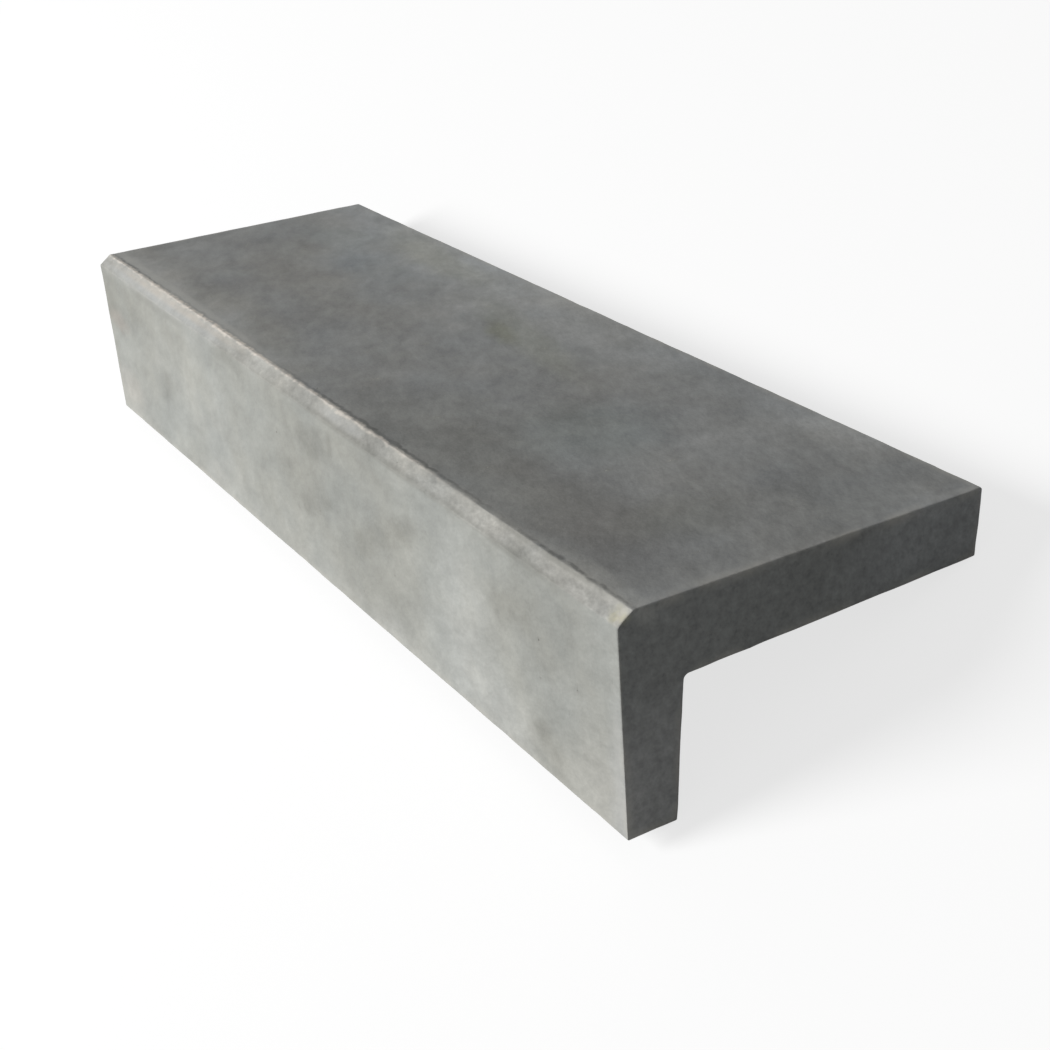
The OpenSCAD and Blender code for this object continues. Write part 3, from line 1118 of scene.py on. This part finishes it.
class ConcreteFinish(bpy.types.PropertyGroup):
    """The concrete's tones, before clouds, marks and sand"""

    front: tone("Front", "Tone of the front, cast against the mould", "#a3a49f")
    chamfer: tone("Chamfer", "Tone of the chamfer along the nosing", "#b3b2ad")
    # The top's tone is a little darker than the front's, partly as painted shade.
    top: tone("Top", "Tone of the walking surface", "#9c9d9c")
    # The ends' tone is darker than the front's as painted shade.
    ends: tone("Ends", "Tone of the two ends", "#8e908f")
    hidden: tone("Hidden faces", "Tone of the foot, back and underside", "#a0a09b")
    worn: tone("Worn arrises", "Tone where an arris has worn down to the sand", "#c3c1b9")


class Studio(bpy.types.PropertyGroup):
    """Where the camera stands, how the softbox lights the step, and how pale the floor is"""

    eye: spot("Eye", "Where the camera stands, in upright axes", (1.788, -0.517, 0.698))
    aim: spot("Aim", "What the camera looks at, in upright axes", (0.853, 0.022, 0.175))
    roll: FloatProperty(
        name="Roll",
        description="How far the camera leans over",
        default=math.radians(-3.3),
        subtype="ANGLE",
        unit="ROTATION",
    )
    lens: FloatProperty(name="Lens", description="Focal length", default=58.6, unit="CAMERA")
    key: FloatProperty(
        name="Softbox power", description="Power of the softbox", default=510.0, unit="POWER"
    )
    key_width: metres("Softbox width", "Width of the round softbox", 3.4)
    key_place: spot("Softbox place", "Where it hangs, in the packed frame", (-2.9, -4.8, 4.2))
    ambient: number("Ambient", "Strength of the light from all round", 0.2)
    floor: tone("Floor", "Tone of the floor, as it lights the step", "#999999")
    floor_glow: number("Floor glow", "How much paler the floor looks than it lights", 0.73)
    floor_width: metres("Floor width", "Width of the square floor", 12.0)
    floor_fade: metres("Floor fade", "How far out the floor starts to fade to white", 1.2)


class CONCRETE_STEP_OT_cast(bpy.types.Operator):
    """Cast the L-shaped step in concrete, in place of the plain CAD step"""

    bl_idname = "concrete_step.cast"
    bl_label = "Cast the step"

    def execute(self, context):
        shape = context.scene.step_shape
        section, points = section_mesh(CORNERS, shape)
        sizes = {
            "Outline points": points,
            "Length": LENGTH,
            "Stations": shape.stations,
            "Arris wear": shape.arris_wear,
            "Chip size": shape.chip_size,
            "Waviness": shape.waviness,
            "Joint line depth": shape.joint_line_depth,
            "Sandy relief": shape.sandy_relief,
            "Pinholes per square metre": shape.pinholes,
            "Pinhole radius": shape.pinhole_radius,
            "Seed": shape.seed,
            "Concrete": concrete(context.scene.concrete_finish),
        }
        step = bpy.data.objects.new("cast_step", section)
        context.scene.collection.objects.link(step)
        casting = step.modifiers.new("Cast the step", "NODES")
        casting.node_group = cast_tree()
        for socket in casting.node_group.interface.items_tree:
            if socket.name in sizes:
                casting[socket.identifier] = sizes[socket.name]
        cast = step.evaluated_get(context.evaluated_depsgraph_get())
        mesh = bpy.data.meshes.new_from_object(cast)
        if not mesh.polygons:
            raise RuntimeError("the nodes cast nothing")
        step.modifiers.remove(casting)
        step.data = mesh
        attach(step, "root")
        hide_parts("step")
        return {"FINISHED"}


class CONCRETE_STEP_OT_set_stage(bpy.types.Operator):
    """Set the camera, the softbox, the white surroundings and the floor"""

    bl_idname = "concrete_step.set_stage"
    bl_label = "Set the stage"

    def execute(self, context):
        scene = context.scene
        studio = scene.studio
        scene.view_settings.view_transform = "Standard"
        scene.world = surroundings(studio)

        camera = bpy.data.objects.new("camera", bpy.data.cameras.new("camera"))
        camera.data.lens = studio.lens
        eye, aim = Vector(studio.eye), Vector(studio.aim)
        look = (aim - eye).to_track_quat("-Z", "Y").to_matrix().to_4x4()
        lean = Matrix.Rotation(studio.roll, 4, "Z")
        to_frame = TO_UPRIGHT.inverted()
        camera.matrix_world = to_frame @ Matrix.Translation(eye) @ look @ lean
        scene.collection.objects.link(camera)
        scene.camera = camera

        softbox = bpy.data.objects.new("softbox", bpy.data.lights.new("softbox", "AREA"))
        softbox.data.shape = "DISK"
        softbox.data.size = studio.key_width
        softbox.data.energy = studio.key
        softbox.location = studio.key_place
        softbox.rotation_euler = Vector(studio.key_place).to_track_quat("Z", "Y").to_euler()
        scene.collection.objects.link(softbox)

        reach = studio.floor_width / 2
        corners = [(-reach, -reach, 0), (reach, -reach, 0), (reach, reach, 0), (-reach, reach, 0)]
        sheet = bpy.data.meshes.new("floor")
        sheet.from_pydata(corners, [], [(0, 1, 2, 3)])
        sheet.materials.append(floor_paint(studio))
        floor = bpy.data.objects.new("floor", sheet)
        scene.collection.objects.link(floor)
        return {"FINISHED"}


class CONCRETE_STEP_PT_panel(bpy.types.Panel):
    """The sizes and tones of the step and its stage, and the operators that use them"""

    bl_idname = "CONCRETE_STEP_PT_panel"
    bl_label = "Concrete step"
    bl_space_type = "VIEW_3D"
    bl_region_type = "UI"
    bl_category = "Concrete step"

    def draw(self, context):
        scene = context.scene
        for group, operator in (
            (scene.studio, CONCRETE_STEP_OT_set_stage),
            (scene.concrete_finish, None),
            (scene.step_shape, CONCRETE_STEP_OT_cast),
        ):
            box = self.layout.box()
            for name in type(group).__annotations__:
                box.prop(group, name)
            if operator:
                box.operator(operator.bl_idname)


CLASSES = (
    StepShape,
    ConcreteFinish,
    Studio,
    CONCRETE_STEP_OT_cast,
    CONCRETE_STEP_OT_set_stage,
    CONCRETE_STEP_PT_panel,
)


def register():
    for kind in CLASSES:
        bpy.utils.register_class(kind)
    bpy.types.Scene.step_shape = PointerProperty(type=StepShape)
    bpy.types.Scene.concrete_finish = PointerProperty(type=ConcreteFinish)
    bpy.types.Scene.studio = PointerProperty(type=Studio)


def unregister():
    del bpy.types.Scene.studio
    del bpy.types.Scene.concrete_finish
    del bpy.types.Scene.step_shape
    for kind in reversed(CLASSES):
        bpy.utils.unregister_class(kind)


def main():
    register()
    bpy.ops.concrete_step.set_stage()
    bpy.ops.concrete_step.cast()


if __name__ == "__main__":
    main()
